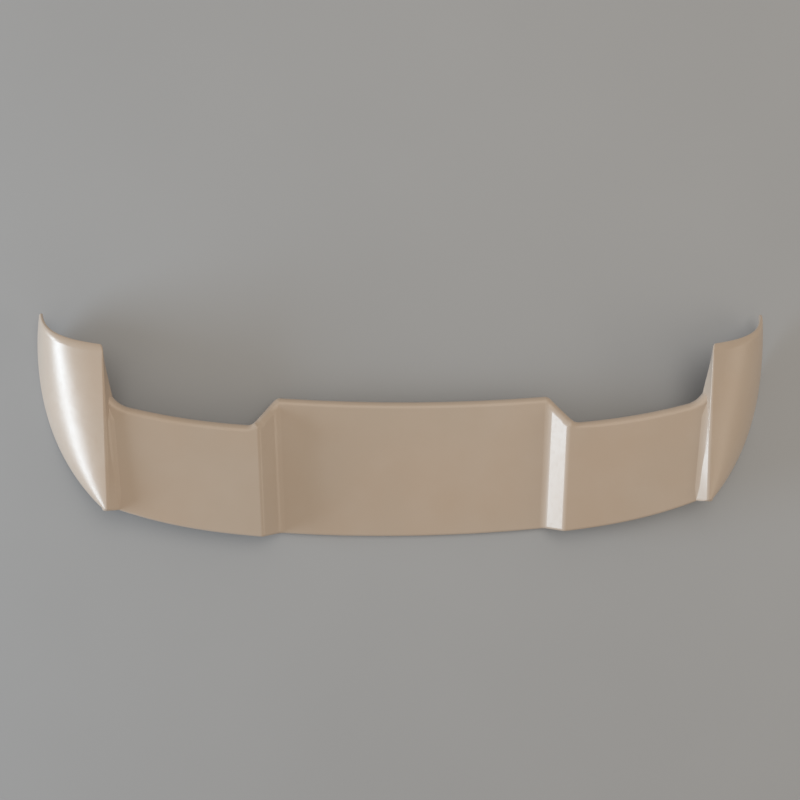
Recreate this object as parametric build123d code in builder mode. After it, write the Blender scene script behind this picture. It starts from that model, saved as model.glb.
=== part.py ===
from build123d import *
import math
import os

# One-piece moulded roof spoiler: a sunk centre panel, two raised side panels and two drooping ears.
# It is drawn in its own frame and then laid down the way it rests on a floor.
# Own frame: X across the car, Y forward, Z square to the panels. Y is 0 at the middle of the trailing edge.
# Sizes are in millimetres and angles in degrees.

# Centre channel: half width of its floor at the trailing and leading edges, and its sloping side
channel_floor_rear = 210.0
channel_floor_front = 215.0
channel_wall_run = 25.0
step_height = 27.5

# Trailing edge in plan: how far forward it is at the channel and half way along the side panel
tail_bow_centre = 8.6
tail_bow_side = 27.5
tail_side_x = 349.0

# Leading edge in plan
nose_mid_y = 215.0
nose_corner_x = 215.5
nose_corner_y = 223.0
side_nose_inner_x = 251.0
side_nose_inner_y = 184.5
side_nose_mid_x = 343.0
side_nose_mid_y = 194.5
side_nose_outer_x = 434.0
side_nose_outer_y = 213.0
nose_corner_radius = 12.0
nose_hollow_radius = 16.0
ear_root_radius = 41.0
ear_root_turn = 76.0

# Panel section
tail_thickness = 9.0
nose_thickness = 15.0
ridge_radius = 8.0
valley_radius = 14.0
under_ridge_radius = 8.0
under_valley_radius = 6.0
nose_top_round = 9.0
nose_under_round = 3.0
tail_round = 4.0

# Ears: a straight ridge that falls slightly towards the front, and a skin that curves out and down from it.
# The drop shares are how far the outer edge lies below the ridge for each millimetre of reach, along the ear
# and at its tip. The tip turn is how far the outer edge bends back in at the tip. The sweep is how far the
# front edge runs forward for each millimetre of drop. The lean is that of the inner wall, at its two ends.
ear_ridge_x = 463.0
ear_rear_y = 53.0
ear_rear_rise = 15.0
ear_ridge_fall = 2.2
ear_length = 306.0
ear_reach = 128.0
ear_tip_turn = 10.0
ear_drop_share = 0.64
ear_tip_drop_share = 0.6
ear_nose_sweep = 0.76
ear_root_lean = 42.0
ear_root_lean_front = 0.0
ear_root_thickness = 30.0
ear_root_thickness_front = 10.0
ear_thickness = 12.0
ear_edge_thickness = 6.0
ear_nose_round = 8.0
ear_tip_round = 10.0
ear_tail_round = 5.0
ear_ridge_round = 3.0

# Soft bend where a side panel runs up into the ear: its radius, how far it starts from the ear's rear end,
# and the length over which it grows and fades. At its two ends a share of the radius is left.
ear_root_round = 12.0
root_bend_gap = 9.0
root_bend_run = 18.0
root_bend_end = 0.15

# Moulded wall, the solid margin left along the edges, and the share of the ear's section left solid
# from its outer edge
wall = 3.0
edge_wall = 6.0
ear_solid_share = 0.3

# The panels end inside the root of the ears.
panel_tail_gap = 7.0
panel_nose_overlap = 14.0
brow_length = 6.0
tail_end_gap = 5.5

# Powers of the ear's outline in plan, and of how late its tip lifts, its root thins and its crown flattens
ear_tail_power = 2.9
ear_side_power = 1.16
ear_tip_power = 8
ear_root_power = 3.5
ear_crown_power = 3

# Shares of the ear's reach and depth where the two handles of its curved section lie, at its rear and tip
crown_handle = ((0.5, 0.18), (0.62, 0.15))
side_handle = ((0.77, 0.53), (0.88, 0.47))

# Shares of an ear's edge: where its rounded ends close, how far they draw in, and how a corner is rounded
nose_depth = 0.6
draw_share = 1 / 6
corner_share = 1 / 4

panel_end_x = ear_ridge_x + panel_nose_overlap
panel_tail_x = ear_ridge_x - panel_tail_gap
root_y = side_nose_outer_y + ear_root_radius + brow_length

# The hollow of the panels ends before the root of the ears, and a solid rib parts it from their hollows.
hollow_end_x = ear_ridge_x - ear_root_thickness * math.sin(math.radians(ear_root_lean)) - wall

# Tangent of half the slope of the channel's side
wall_lean = math.tan(math.atan2(step_height, channel_wall_run) / 2)

# Frame of the ears: the ridge runs along ear_axis from ear_start.
fall = math.radians(ear_ridge_fall)
ear_axis = Vector(0, math.cos(fall), -math.sin(fall))
ear_up = Vector(0, math.sin(fall), math.cos(fall))
ear_start = Vector(ear_ridge_x, ear_rear_y, step_height + ear_rear_rise)

# The panel section is drawn from behind the trailing edge to in front of the leading edge, then trimmed.
section_rear_y = -ear_rear_y
section_length = root_y + 2 * ear_rear_y
plan_base_z = -nose_thickness - step_height
plan_height = -2 * plan_base_z
channel_flare = (channel_floor_front - channel_floor_rear) / nose_corner_y
thickening = (nose_thickness - tail_thickness) / nose_corner_y
top_run = Vector(channel_flare, 1, 0)
under_run = Vector(channel_flare + thickening * wall_lean, 1, -thickening)


def along(rear, front, y):
    """Value at y of a size that changes evenly from the trailing to the leading edge."""
    return rear + (front - rear) * y / nose_corner_y


def thickness_at(y):
    """Panel thickness at y."""
    return along(tail_thickness, nose_thickness, y)


def panel_top(x, y):
    """Height of the panel top at a point in plan, before its bends are rounded."""
    climb = (abs(x) - along(channel_floor_rear, channel_floor_front, y)) / channel_wall_run
    return step_height * min(1.0, max(0.0, climb))


def bent_profile(skin, outer_z, bends):
    """Profile across the right half of the panels at the rear of the section, closed at outer_z.

    It bends at the channel's foot and shelf, inside the top by the skin. Bends gives the two radii there.
    """
    floor_x = along(channel_floor_rear, channel_floor_front, section_rear_y) + skin * wall_lean
    shelf_x = floor_x + channel_wall_run
    corners = [(floor_x, -skin), (shelf_x, step_height - skin)]
    outline = [
        (-panel_end_x, outer_z),
        (-panel_end_x, -skin),
        *corners,
        (2 * panel_end_x, step_height - skin),
        (2 * panel_end_x, outer_z),
    ]
    with BuildSketch(Plane.XZ.offset(-section_rear_y)) as profile:
        with BuildLine():
            Polyline(*outline, close=True)
        make_face()
        for corner, radius in zip(corners, bends):
            if radius > 0:
                fillet(profile.vertices().sort_by_distance(corner)[0], radius)
    return profile.sketch


def panel_plan(inset):
    """Plan outline of the panels, drawn inside the edges by the inset."""
    tail = [
        (0, inset),
        (channel_floor_rear, tail_bow_centre + inset),
        (tail_side_x, tail_bow_side + inset),
        (panel_tail_x - inset, ear_rear_y + tail_end_gap + inset),
    ]
    outer = (side_nose_outer_x, side_nose_outer_y - inset)
    mid = (side_nose_mid_x, side_nose_mid_y - inset)
    hollow = (side_nose_inner_x - inset, side_nose_inner_y - inset)
    corner = (nose_corner_x - inset, nose_corner_y - inset)
    with BuildSketch(Plane.XY.offset(plan_base_z)) as plan:
        with BuildLine():
            Spline(*[(-x, y) for x, y in reversed(tail[1:])], *tail)
            ThreePointArc(corner, (0, nose_mid_y - inset), (-corner[0], corner[1]))
            for side in (1, -1):
                side_nose = Spline(*[(side * x, y) for x, y in (hollow, mid, outer)])
                rise = JernArc(side_nose @ 1, side_nose % 1, ear_root_radius, side * ear_root_turn)
                brow = PolarLine(rise @ 1, brow_length, direction=rise % 1) @ 1
                Polyline(brow, (side * panel_end_x, brow.Y), (side * tail[-1][0], tail[-1][1]))
                Line((side * hollow[0], hollow[1]), (side * corner[0], corner[1]))
        make_face()
        for side in (1, -1):
            fillet(plan.vertices().sort_by_distance((side * corner[0], corner[1]))[0], nose_corner_radius)
            fillet(plan.vertices().sort_by_distance((side * hollow[0], hollow[1]))[0], nose_hollow_radius)
    return plan.sketch


def edge_line(part, front, upper):
    """Edges along the nose or the tail of the panels, on the top or the underside."""
    found = ShapeList()
    middle_y = (ear_rear_y + side_nose_inner_y) / 2
    for edge in part.edges():
        middle = edge @ 0.5
        box = edge.bounding_box()
        upright = max(box.size.X, box.size.Y) < tail_round / 10
        in_ear = abs(middle.X) > ear_ridge_x
        at_edge = box.min.Y > middle_y if front else box.max.Y < middle_y
        is_upper = middle.Z > panel_top(middle.X, middle.Y) - thickness_at(middle.Y) / 2
        if at_edge and not upright and not in_ear and is_upper == upper:
            found.append(edge)
    return found


def quarter_turn(start, corner, end):
    """A rounded quarter turn from start to end about a corner."""
    pull = 0.5523
    return Edge.make_bezier(start, start + (corner - start) * pull, end + (corner - end) * pull, end)


def root_lean(y):
    """How far the inner wall of the ear leans from upright at y, in radians."""
    share = (y - ear_rear_y) / (root_y - ear_rear_y)
    return math.radians(ear_root_lean + (ear_root_lean_front - ear_root_lean) * share**2)


def ear_handle(shares, v, reach, depth):
    """Handle of the ear's section at v, from its shares at the rear end and at the tip."""
    (rear_x, rear_y), (tip_x, tip_y) = shares
    k = v**ear_crown_power
    return Vector((rear_x + (tip_x - rear_x) * k) * reach, -(rear_y + (tip_y - rear_y) * k) * depth)


def cut_curve(points, s):
    """Handles of the first part of a curve with four handles, cut at the share s of it."""
    a, b, c = (p + (q - p) * s for p, q in zip(points, points[1:]))
    d = a + (b - a) * s
    e = b + (c - b) * s
    return [points[0], a, d, d + (e - d) * s]


def ear_section(v, skin=0.0, stop=0.0, draw=0.0):
    """Section of the ear from the ridge to its outer edge.

    V runs from 0 at the ear's rear end to 1 at its front edge. The section is drawn inside the faces by
    the skin and stops short of the outer edge by a share of its run. Draw is the share by which it
    is drawn in where the ear's end is rounded.
    """
    spread = (1 - (1 - v) ** ear_tail_power) ** (1 / ear_side_power)
    reach = ear_reach * spread - ear_tip_turn * v**ear_tip_power
    drop = reach * (ear_drop_share + (ear_tip_drop_share - ear_drop_share) * v**ear_tip_power)
    sweep = ear_nose_sweep * v
    depth = drop * math.hypot(1, sweep)
    root = ear_root_thickness + (ear_root_thickness_front - ear_root_thickness) * v**ear_root_power
    place = ear_tail_round + (ear_length - ear_tail_round - ear_nose_round) * v - sweep * drop

    # The skin runs from the ridge through two handles to the outer edge. The root runs down from the ridge.
    crown = ear_handle(crown_handle, v, reach, depth)
    side = ear_handle(side_handle, v, reach, depth)
    outer = Vector(reach, -depth)
    out = crown.normalized()
    down = (outer - side).normalized()
    crown_face = Vector(-out.Y, out.X)
    side_face = Vector(-down.Y, down.X)
    lean = root_lean(ear_rear_y + place)
    into = Vector(-math.sin(lean), -math.cos(lean))

    # Where an end of the ear is rounded, its sections move out and shrink.
    end_round = -ear_tail_round if v < 0.5 else ear_nose_round
    place += end_round * math.sqrt(draw * (2 - draw))
    draw_in = draw * min(ear_tip_round, reach * draw_share)
    ridge = out * (draw_in / 2 + skin)
    outer -= down * draw_in
    above = skin + draw * nose_depth * ear_edge_thickness
    below = skin + draw * (1 - nose_depth) * ear_edge_thickness
    top = [
        ridge + into * (skin + draw * nose_depth * root),
        crown - crown_face * (skin + draw * nose_depth * ear_thickness),
        side - side_face * above,
        outer - side_face * above,
    ]
    under = [
        ridge + into * (root - skin - draw * (1 - nose_depth) * root),
        crown - crown_face * (ear_thickness - skin - draw * (1 - nose_depth) * ear_thickness),
        side - side_face * ((ear_thickness + ear_edge_thickness) / 2 - below),
        outer - side_face * (ear_edge_thickness - below),
    ]

    # The stop cuts the section short of its outer edge.
    top = cut_curve(top, 1 - stop)
    under = cut_curve(under, 1 - stop)
    down = (top[3] - top[2]).normalized()

    # The ridge, the foot of the root and the outer edge are rounded.
    turn = min(ear_ridge_round, (top[0] - under[0]).length * corner_share)
    half = down * ((top[3] - under[3]).length / 2)
    lip = (top[3] + under[3]) / 2 + half
    sides = [
        Edge.make_bezier(top[0] + out * turn, *top[1:]),
        quarter_turn(top[3], top[3] + half, lip),
        quarter_turn(lip, under[3] + half, under[3]),
        Edge.make_bezier(*reversed(under[1:]), under[0] + out * turn),
        quarter_turn(under[0] + out * turn, under[0], under[0] - into * turn),
        Edge.make_line(under[0] - into * turn, top[0] + into * turn),
        quarter_turn(top[0] + into * turn, top[0], top[0] + out * turn),
    ]
    forward = ear_axis + ear_up * sweep
    return Plane(ear_start + ear_axis * place, x_dir=(1, 0, 0), z_dir=forward * -1) * Face(Wire(sides))


def root_section(y, radius):
    """Section at y of the soft bend where a side panel runs up into the ear."""
    ridge_z = ear_start.Z - (y - ear_rear_y) * math.tan(fall)
    foot_x = ear_ridge_x - (ridge_z - step_height) * math.tan(root_lean(y))
    climb = math.pi / 2 - root_lean(y)
    reach = radius * math.tan(climb / 2)
    share = 1 - radius / math.hypot(reach, radius)
    # The ends of the arc sink a little into the panel and the ear, so that they join cleanly.
    sink = radius / 50
    base_z = step_height - thickness_at(y) / 4
    toe = (foot_x - reach - sink, step_height - sink)
    middle = (foot_x - reach * share, step_height + radius * share)
    crest = (foot_x + reach * math.cos(climb) + 2 * sink, step_height + reach * math.sin(climb))
    heel_x = crest[0] + wall / 2
    with BuildSketch(Plane.XZ.offset(-y)) as section:
        with BuildLine():
            ThreePointArc(toe, middle, crest)
            Polyline(crest, (heel_x, crest[1]), (heel_x, base_z), (toe[0], base_z), toe)
        make_face()
    return section.sketch


# The top and the underside of the right half are each drawn forward along their own bends.
with BuildPart() as panel:
    extrude(bent_profile(0.0, plan_base_z, (valley_radius, ridge_radius)), section_length, dir=top_run)
    extrude(
        bent_profile(thickness_at(section_rear_y), -plan_base_z, (under_valley_radius, under_ridge_radius)),
        section_length,
        dir=under_run,
        mode=Mode.INTERSECT,
    )
    split(bisect_by=Plane.YZ)
    mirror(about=Plane.YZ)
    extrude(panel_plan(0.0), amount=plan_height, mode=Mode.INTERSECT)
    fillet(edge_line(panel.part, True, True), nose_top_round)
    fillet(edge_line(panel.part, False, True), tail_round)
    fillet(edge_line(panel.part, True, False), nose_under_round)
    fillet(edge_line(panel.part, False, False), tail_round)

# The ear runs through sections from its rear end to its front edge. Both ends draw in to a round.
ear_steps = (0.02, 0.035, 0.06, 0.1, 0.16, 0.24, 0.34, 0.46, 0.6, 0.74, 0.87, 0.95, 1)
end_draws = (0, 0.08, 0.3, 0.6, 0.85)
with BuildPart() as ear:
    loft([ear_section(v) for v in ear_steps])
    for v in (ear_steps[0], ear_steps[-1]):
        loft([ear_section(v, draw=k) for k in end_draws])

# The bend at the ear's root fades out towards the trailing edge and before the rounded leading edge.
bend_start_y = ear_rear_y + root_bend_gap
root_steps = (
    (bend_start_y, root_bend_end),
    (bend_start_y + root_bend_run, 1),
    (side_nose_outer_y - root_bend_run, 1),
    (side_nose_outer_y, root_bend_end),
)
with BuildPart() as root_bend:
    loft([root_section(y, ear_root_round * k) for y, k in root_steps], ruled=True)

with BuildPart() as hollow:
    extrude(bent_profile(wall, plan_base_z, (0.0, 0.0)), section_length, dir=top_run)
    extrude(
        bent_profile(thickness_at(section_rear_y) - wall, -plan_base_z, (0.0, 0.0)),
        section_length,
        dir=under_run,
        mode=Mode.INTERSECT,
    )
    split(bisect_by=Plane.YZ)
    split(bisect_by=Plane.YZ.offset(hollow_end_x), keep=Keep.BOTTOM)
    mirror(about=Plane.YZ)
    extrude(panel_plan(edge_wall), amount=plan_height, mode=Mode.INTERSECT)

# The hollow stops short of the thin outer edge of the ear, which is solid.
with BuildPart() as ear_hollow:
    loft([ear_section(v, skin=wall, stop=ear_solid_share) for v in ear_steps[5:-2]])

with BuildPart() as spoiler:
    add(panel.part)
    for piece in (ear.part, root_bend.part):
        add(piece)
        mirror(piece, about=Plane.YZ)
    add(hollow.part, mode=Mode.SUBTRACT)
    add(ear_hollow.part, mode=Mode.SUBTRACT)
    mirror(ear_hollow.part, about=Plane.YZ, mode=Mode.SUBTRACT)


def tail_clearance(tilt):
    """How much higher the trailing edge is than the outer edges of the ears when the nose is tilted up."""
    tail_low = panel.part.rotate(Axis.X, tilt).bounding_box().min.Z
    ear_low = ear.part.rotate(Axis.X, tilt).bounding_box().min.Z
    return tail_low - ear_low


# The spoiler lies on the outer edges of its ears and the middle of its trailing edge. Its tilt is found by
# halving the range that it lies in.
low_tilt, high_tilt = 0.0, 40.0
tilt_halvings = 24
for _ in range(tilt_halvings):
    rest_tilt = (low_tilt + high_tilt) / 2
    if tail_clearance(rest_tilt) > 0:
        low_tilt = rest_tilt
    else:
        high_tilt = rest_tilt
tilted = spoiler.part.rotate(Axis.X, rest_tilt)
box = tilted.bounding_box()

with BuildPart() as roof_spoiler:
    with Locations((-box.center().X, -box.center().Y, -box.min.Z)):
        add(tilted)
roof_spoiler.part.label = "roof_spoiler"

os.makedirs("parts", exist_ok=True)
export_step(roof_spoiler.part, "parts/roof_spoiler.step")
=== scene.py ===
"""Looks of the moulded roof spoiler.

It gives the spoiler its satin cream plastic and sets up the floor, the light and the camera.
"""
from __future__ import annotations

import logging
import math
from dataclasses import dataclass
from enum import Enum
from typing import Any

import bpy
from mathutils import Euler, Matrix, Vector


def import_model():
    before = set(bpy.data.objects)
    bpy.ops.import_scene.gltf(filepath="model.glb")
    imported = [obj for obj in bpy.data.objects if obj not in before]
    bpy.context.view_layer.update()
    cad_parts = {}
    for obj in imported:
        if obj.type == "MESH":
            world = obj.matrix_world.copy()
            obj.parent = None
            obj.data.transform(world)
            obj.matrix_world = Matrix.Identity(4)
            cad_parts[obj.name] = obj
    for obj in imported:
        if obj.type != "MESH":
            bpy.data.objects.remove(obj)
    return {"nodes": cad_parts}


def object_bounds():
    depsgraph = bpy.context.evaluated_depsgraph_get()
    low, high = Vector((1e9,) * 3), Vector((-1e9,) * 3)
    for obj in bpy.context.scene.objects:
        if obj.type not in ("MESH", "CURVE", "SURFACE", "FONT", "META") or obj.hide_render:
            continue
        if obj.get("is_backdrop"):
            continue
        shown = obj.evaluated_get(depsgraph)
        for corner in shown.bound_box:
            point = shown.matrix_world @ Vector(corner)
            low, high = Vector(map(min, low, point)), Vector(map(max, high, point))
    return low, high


LOG = logging.getLogger("roof_spoiler")
PHOTO_PIXELS = 800
SENSOR_MM = 36.0

# The curve between screen colours and linear ones: its straight part near black, and its power part
BLACK_END = 0.04045
BLACK_SLOPE = 12.92
CURVE_LIFT = 0.055
CURVE_POWER = 2.4

# Sockets of a Mix node that mixes colours
MIX_SHARE, MIX_FIRST, MIX_SECOND, MIX_RESULT = 0, 6, 7, 2

Triple = tuple[float, float, float]
Stops = tuple[tuple[float, float], tuple[float, float]]


def linear(colour: Triple) -> tuple[float, float, float, float]:
    """Turn a screen colour into the linear one that shaders take.

    Args:
        colour: red, green and blue as seen on a screen, from 0 to 1.

    Returns:
        The linear colour with an alpha of 1.
    """
    red, green, blue = (
        c / BLACK_SLOPE if c <= BLACK_END else ((c + CURVE_LIFT) / (1 + CURVE_LIFT)) ** CURVE_POWER
        for c in colour
    )
    return (red, green, blue, 1.0)


class Maths(Enum):
    """Operations of a Math node that the shader expressions use."""

    ADD = "ADD"
    SUBTRACT = "SUBTRACT"
    MULTIPLY = "MULTIPLY"


class Value:
    """A shader socket that can be used in a Python expression."""

    def __init__(self, tree: "Shader", socket: bpy.types.NodeSocket) -> None:
        """Keep the socket and the tree that it belongs to."""
        self.tree = tree
        self.socket = socket

    def _with(self, operation: Maths, first: "Value | float", second: "Value | float") -> "Value":
        """Add a Math node.

        Args:
            operation: what the node does.
            first: its first number.
            second: its second number.

        Returns:
            The node's result.
        """
        return self.tree.node("ShaderNodeMath", {"operation": operation.value}, {0: first, 1: second})

    def __add__(self, other: "Value | float") -> "Value":
        """self + other."""
        return self._with(Maths.ADD, self, other)

    def __radd__(self, other: float) -> "Value":
        """other + self."""
        return self._with(Maths.ADD, other, self)

    def __sub__(self, other: "Value | float") -> "Value":
        """self - other."""
        return self._with(Maths.SUBTRACT, self, other)

    def __rsub__(self, other: float) -> "Value":
        """other - self."""
        return self._with(Maths.SUBTRACT, other, self)

    def __mul__(self, other: "Value | float") -> "Value":
        """self * other."""
        return self._with(Maths.MULTIPLY, self, other)

    def __rmul__(self, other: float) -> "Value":
        """other * self."""
        return self._with(Maths.MULTIPLY, other, self)


class Shader:
    """A material's node tree, with one method that adds any node."""

    def __init__(self, name: str) -> None:
        """Start a material that holds one main shader and its output."""
        self.material = bpy.data.materials.new(name)
        self.material.use_nodes = True
        self.nodes = self.material.node_tree.nodes
        self.links = self.material.node_tree.links
        self.main = self.nodes["Principled BSDF"]

    def node(
        self,
        kind: str,
        settings: dict[str, Any] | None = None,
        inputs: dict[int | str, Any] | None = None,
        output: int | str = 0,
    ) -> Value:
        """Add a node.

        Args:
            kind: the node's type.
            settings: what is set on the node itself. A ramp's stops are places and grey levels.
            inputs: values or links for its sockets, by place or name.
            output: the socket to hand back.

        Returns:
            The chosen output.
        """
        made = self.nodes.new(kind)
        for key, value in (settings or {}).items():
            if key == "stops":
                self._set_stops(made.color_ramp, value)
            else:
                setattr(made, key, value)
        for key, value in (inputs or {}).items():
            self._feed(made.inputs[key], value)
        return Value(self, made.outputs[output])

    def surface(self, **inputs: Any) -> None:
        """Set or link the main shader's sockets, named with _ for each space."""
        for key, value in inputs.items():
            self._feed(self.main.inputs[key.replace("_", " ")], value)

    def _feed(self, socket: bpy.types.NodeSocket, value: Any) -> None:
        """Link a socket to an earlier result, or set it to a plain value.

        Args:
            socket: the socket to fill.
            value: the earlier result or the plain value.
        """
        if isinstance(value, Value):
            self.links.new(value.socket, socket)
        else:
            socket.default_value = value

    @staticmethod
    def _set_stops(ramp: bpy.types.ColorRamp, stops: Stops) -> None:
        """Give a ramp its two grey stops.

        Args:
            ramp: the ramp.
            stops: the place and the grey level of each stop.
        """
        for element, (place, level) in zip(ramp.elements, stops):
            element.position = place
            element.color = (level, level, level, 1.0)

    def place(self, scale: Triple = (1.0, 1.0, 1.0), turn: float = 0.0) -> Value:
        """Object coordinates, stretched and turned about Z.

        Args:
            scale: how much each axis is multiplied by.
            turn: the turn in degrees.

        Returns:
            The coordinates.
        """
        spot = self.node("ShaderNodeTexCoord", output="Object")
        rotation = (0.0, 0.0, math.radians(turn))
        return self.node("ShaderNodeMapping", inputs={"Vector": spot, "Rotation": rotation, "Scale": scale})

    def noise(self, where: Value, scale: float, detail: float, rough: float = 0.5) -> Value:
        """Soft noise around 0.5.

        Args:
            where: the coordinates.
            scale: bumps for each metre.
            detail: how many finer layers it has.
            rough: how strong the finer layers are.

        Returns:
            The noise.
        """
        return self.node(
            "ShaderNodeTexNoise",
            {"noise_dimensions": "3D"},
            {"Vector": where, "Scale": scale, "Detail": detail, "Roughness": rough},
        )

    def ramp(self, value: Value, stops: Stops) -> Value:
        """Remap a value through grey stops."""
        return self.node("ShaderNodeValToRGB", {"stops": stops}, {"Fac": value})

    def mix(self, share: Value, first: Any, second: Any) -> Value:
        """Mix two colours by a share.

        Args:
            share: how much of the second colour there is, from 0 to 1.
            first: the first colour.
            second: the second colour.

        Returns:
            The mixed colour.
        """
        inputs = {MIX_SHARE: share, MIX_FIRST: first, MIX_SECOND: second}
        return self.node("ShaderNodeMix", {"data_type": "RGBA"}, inputs, MIX_RESULT)

    def bump(self, height: Value, strength: float, distance: float, normal: Value | None = None) -> Value:
        """Turn a height into a bent normal.

        Args:
            height: the height.
            strength: how much of it shows.
            distance: the height in metres that 1 stands for.
            normal: an earlier bent normal to add to.

        Returns:
            The normal.
        """
        inputs: dict[int | str, Any] = {"Height": height, "Strength": strength, "Distance": distance}
        if normal is not None:
            inputs["Normal"] = normal
        return self.node("ShaderNodeBump", inputs=inputs)


@dataclass(frozen=True)
class SatinPlastic:
    """Bare cream plastic as it leaves the mould: satin, a little blotchy and faintly rubbed."""

    name: str = "satin_cream_plastic"
    colour: Triple = (0.735, 0.680, 0.630)
    warm_colour: Triple = (0.740, 0.668, 0.606)
    pale_colour: Triple = (0.765, 0.716, 0.675)
    refraction: float = 1.52

    # Warm blotches and pale clouds in the colour: their size, their stops and how much of them shows
    blotch_per_m: float = 5.0
    blotch_detail: float = 3.0
    blotch_stops: Stops = ((0.35, 0.0), (0.68, 1.0))
    blotch_share: float = 0.7
    cloud_per_m: float = 13.5
    cloud_detail: float = 4.0
    cloud_stops: Stops = ((0.40, 0.0), (0.75, 1.0))
    cloud_share: float = 0.35

    # Roughness, and how far the blotches and the rubbed streaks change it
    gloss: float = 0.30
    blotch_gloss: float = 0.05
    rub_gloss: float = 0.06
    rub_per_m: float = 156.0
    rub_stretch: Triple = (0.16, 1.0, 1.0)
    rub_turn: float = 14.0
    rub_detail: float = 4.0
    rub_rough: float = 0.6
    rub_stops: Stops = ((0.50, 0.0), (0.80, 1.0))

    # Soft waves and fine grain of the moulded face, with heights in metres
    wave_per_m: float = 9.0
    wave_strength: float = 0.12
    wave_height: float = 0.004
    grain_per_m: float = 1400.0
    grain_strength: float = 0.10
    grain_height: float = 0.0002
    relief_detail: float = 1.0

    def make(self) -> bpy.types.Material:
        """Build the material.

        Returns:
            The material.
        """
        shader = Shader(self.name)
        spot = shader.place()
        blotch = shader.ramp(shader.noise(spot, self.blotch_per_m, self.blotch_detail), self.blotch_stops)
        cloud = shader.ramp(shader.noise(spot, self.cloud_per_m, self.cloud_detail), self.cloud_stops)
        streaks = shader.place(self.rub_stretch, self.rub_turn)
        rub = shader.ramp(
            shader.noise(streaks, self.rub_per_m, self.rub_detail, self.rub_rough), self.rub_stops
        )
        tint = shader.mix(blotch * self.blotch_share, linear(self.colour), linear(self.warm_colour))
        tint = shader.mix(cloud * self.cloud_share, tint, linear(self.pale_colour))
        rough = self.gloss + (blotch - 0.5) * self.blotch_gloss + rub * self.rub_gloss
        wave = shader.noise(spot, self.wave_per_m, self.relief_detail)
        grain = shader.noise(spot, self.grain_per_m, self.relief_detail)
        soft = shader.bump(wave, self.wave_strength, self.wave_height)
        normal = shader.bump(grain, self.grain_strength, self.grain_height, soft)
        shader.surface(Base_Color=tint, Roughness=rough, Normal=normal, IOR=self.refraction)
        return shader.material


@dataclass(frozen=True)
class FloorPaint:
    """Plain pale floor, with faint clouds."""

    name: str = "pale_floor"
    colour: Triple = (0.672, 0.688, 0.715)
    shade: float = 0.96
    cloud_per_m: float = 2.2
    cloud_detail: float = 4.0
    dull: float = 0.75

    def make(self) -> bpy.types.Material:
        """Build the material.

        Returns:
            The material.
        """
        shader = Shader(self.name)
        cloud = shader.noise(shader.place(), self.cloud_per_m, self.cloud_detail)
        red, green, blue = self.colour
        dark = (self.shade * red, self.shade * green, self.shade * blue)
        tint = shader.mix(cloud, linear(dark), linear(self.colour))
        shader.surface(Base_Color=tint, Roughness=self.dull)
        return shader.material


@dataclass
class Spoiler:
    """The moulding itself, which keeps its solid's shape."""

    node: bpy.types.Object
    finish: SatinPlastic

    def dress(self) -> None:
        """Give the moulding its plastic."""
        self.node.data.materials.clear()
        self.node.data.materials.append(self.finish.make())
        LOG.info("dressed %s in %s", self.node.name, self.finish.name)


@dataclass
class Floor:
    """The surface that the spoiler lies on, with sizes in metres."""

    paint: FloorPaint
    reach: float = 12.0
    gap: float = 0.0004

    def lay(self) -> bpy.types.Object:
        """Lay the floor just under the spoiler.

        Returns:
            The floor.
        """
        bpy.ops.object.select_all(action="DESELECT")
        bpy.ops.mesh.primitive_plane_add(size=self.reach, location=(0.0, 0.0, -self.gap))
        floor = bpy.context.object
        floor.name = "floor"
        floor.data.materials.append(self.paint.make())
        floor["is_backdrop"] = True
        LOG.info("laid %s", floor.name)
        return floor


@dataclass
class SoftLamp:
    """A large soft lamp that faces a point, set by the direction that it shines from.

    The bearing and the height are in degrees, the sizes in metres and the power in watts.
    """

    name: str
    bearing: float
    height: float
    distance: float
    width: float
    tall: float
    power: float
    colour: Triple

    def hang(self, target: Vector) -> bpy.types.Object:
        """Put the lamp up.

        Args:
            target: the point that it faces.

        Returns:
            The lamp.
        """
        bearing = math.radians(self.bearing)
        height = math.radians(self.height)
        level = math.cos(height)
        out = Vector((math.sin(bearing) * level, math.cos(bearing) * level, math.sin(height)))
        bpy.ops.object.light_add(type="AREA", location=target + out * self.distance)
        lamp = bpy.context.object
        lamp.name = self.name
        lamp.rotation_mode = "QUATERNION"
        lamp.rotation_quaternion = (-out).to_track_quat("-Z", "Y")
        lamp.data.shape = "RECTANGLE"
        lamp.data.size = self.width
        lamp.data.size_y = self.tall
        lamp.data.energy = self.power
        lamp.data.color = self.colour
        LOG.info("hung %s", lamp.name)
        return lamp


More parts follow.
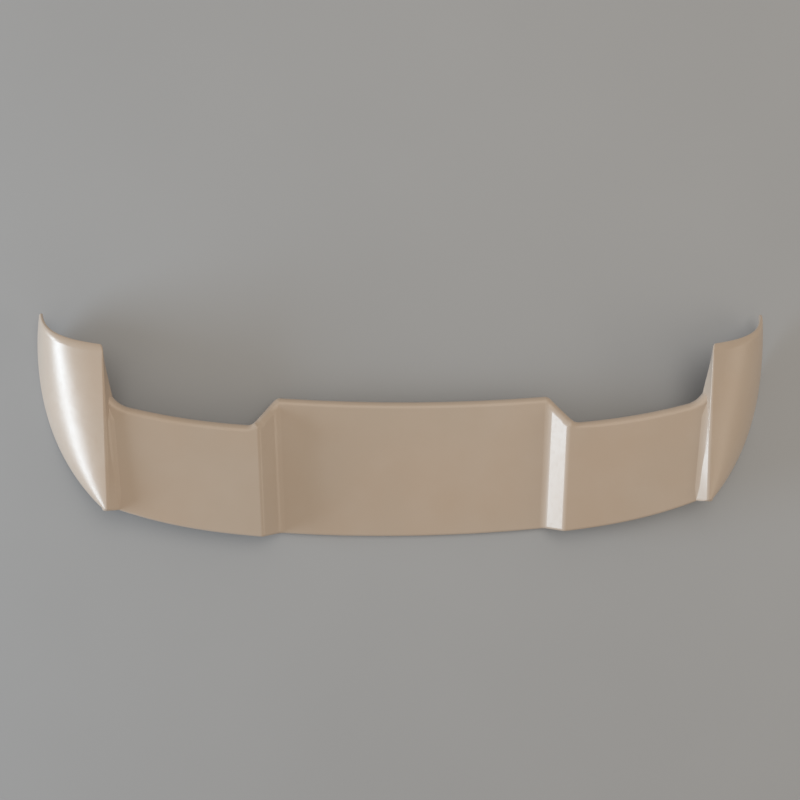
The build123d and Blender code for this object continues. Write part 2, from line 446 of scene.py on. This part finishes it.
LAMPS = (
    SoftLamp(
        name="window",
        bearing=-97.0,
        height=10.0,
        distance=4.0,
        width=2.4,
        tall=1.0,
        power=128.0,
        colour=(0.74, 0.88, 1.0),
    ),
    SoftLamp(
        name="fill",
        bearing=100.0,
        height=22.0,
        distance=4.0,
        width=2.5,
        tall=1.2,
        power=14.0,
        colour=(1.0, 0.90, 0.76),
    ),
    SoftLamp(
        name="ceiling",
        bearing=20.0,
        height=70.0,
        distance=3.5,
        width=3.0,
        tall=3.0,
        power=40.0,
        colour=(1.0, 0.92, 0.80),
    ),
)


@dataclass
class Room:
    """Soft light from all round."""

    colour: Triple = (1.0, 0.88, 0.73)
    level: float = 0.42

    def fill(self) -> None:
        """Light the scene evenly from every side."""
        world = bpy.data.worlds.new("room")
        world.use_nodes = True
        back = world.node_tree.nodes["Background"]
        back.inputs["Color"].default_value = (*self.colour, 1.0)
        back.inputs["Strength"].default_value = self.level
        bpy.context.scene.world = world


@dataclass
class PhotoCamera:
    """The camera that looks down on the spoiler from the photograph's viewing angle.

    Its place is in metres, its angles are in degrees and its focal length is in pixels of the photograph.
    """

    place: Triple = (-0.1043, -0.0132, 1.2141)
    pitch: float = 2.558
    yaw: float = -3.971
    roll: float = -0.349
    focal_pixels: float = 750.0

    def stand(self) -> bpy.types.Object:
        """Put the camera up and make it the scene's own.

        Returns:
            The camera.
        """
        turn = Euler((math.radians(self.pitch), math.radians(self.yaw), math.radians(self.roll)), "ZYX")
        bpy.ops.object.camera_add(location=self.place)
        camera = bpy.context.object
        camera.name = "photo_camera"
        camera.rotation_mode = "ZYX"
        camera.rotation_euler = turn
        camera.data.sensor_width = SENSOR_MM
        camera.data.lens = SENSOR_MM * self.focal_pixels / PHOTO_PIXELS
        bpy.context.scene.camera = camera
        return camera


def corners() -> list[list[float]]:
    """The shown object's lowest and highest corners as plain lists."""
    return [list(corner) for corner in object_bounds()]


def main() -> None:
    """Load the moulding, dress it, light it and set the camera."""
    logging.basicConfig(level=logging.INFO, format="%(name)s: %(message)s")
    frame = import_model()
    cad_box = corners()
    bpy.context.scene.view_settings.view_transform = "Standard"
    Spoiler(frame["nodes"]["roof_spoiler"], SatinPlastic()).dress()
    Floor(FloorPaint()).lay()
    low, high = (Vector(corner) for corner in cad_box)
    for lamp in LAMPS:
        lamp.hang((low + high) / 2)
    Room().fill()
    PhotoCamera().stand()


if __name__ == "__main__":
    main()
